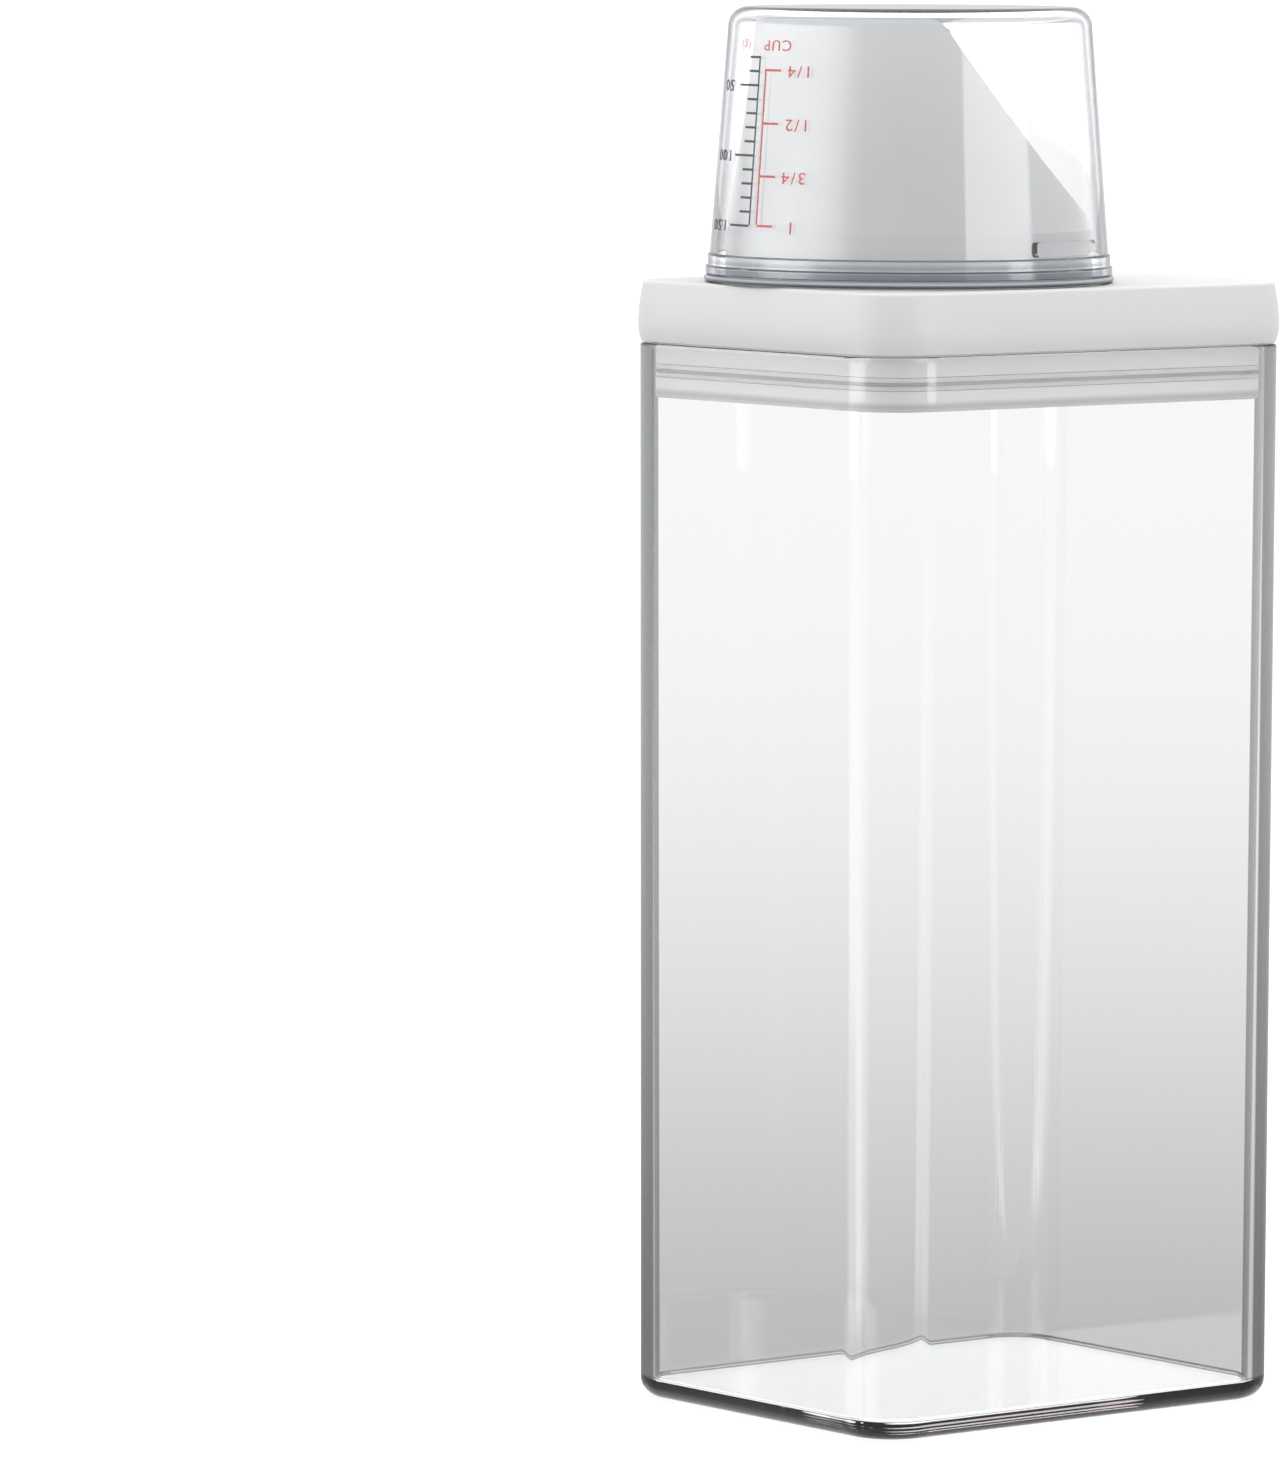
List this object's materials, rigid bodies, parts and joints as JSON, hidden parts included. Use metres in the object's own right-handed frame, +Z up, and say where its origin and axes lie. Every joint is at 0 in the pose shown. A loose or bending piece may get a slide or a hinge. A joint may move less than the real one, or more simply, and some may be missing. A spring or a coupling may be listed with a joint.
{
  "type": "detergent dispenser bottle",
  "caption": "Tall clear rounded rectangular jar with a white lid, a slant-mouthed pour spout and an inverted clear measuring cup over the spout.",
  "frame": {"origin": "centre of the jar's underside", "axes": "+Z up; X along the lid's long side, +X away from the spout; -Y is the front"},
  "size_m": [0.121, 0.0974, 0.3132],
  "materials": {
    "clear_jar": "clear, glossy",
    "white_lid": "satin white",
    "white_plug": "satin white",
    "clear_silicone": "soft, milky",
    "frosted_spout": "frosted light grey",
    "seal_silicone": "soft, milky",
    "clear_cup": "clear, glossy",
    "grey_silicone": "soft, blue-grey"
  },
  "bodies": {
    "jar": {"jar": "clear_jar"},
    "lid": {"lid_cover": "white_lid", "lid_plug": "white_plug", "lid_gasket": "clear_silicone", "spout": "frosted_spout", "spout_seal": "seal_silicone"},
    "cup_ring": {"cup_ring": "grey_silicone"},
    "cup": {"measuring_cup": "clear_cup"}
  },
  "joints": [
    {"name": "lid_lift", "type": "slide", "parent": "jar", "child": "lid", "axis": [0, 0, 1], "range_m": [0, 0.06]},
    {"name": "cup_lift", "type": "slide", "parent": "lid", "child": "cup_ring", "axis": [0, 0, 1], "range_m": [0, 0.09]},
    {"name": "cup_turn", "type": "hinge", "parent": "cup_ring", "child": "cup", "pos_m": [-0.0145, 0, 0.252], "axis": [0, 0, 1], "continuous": true}
  ]
}
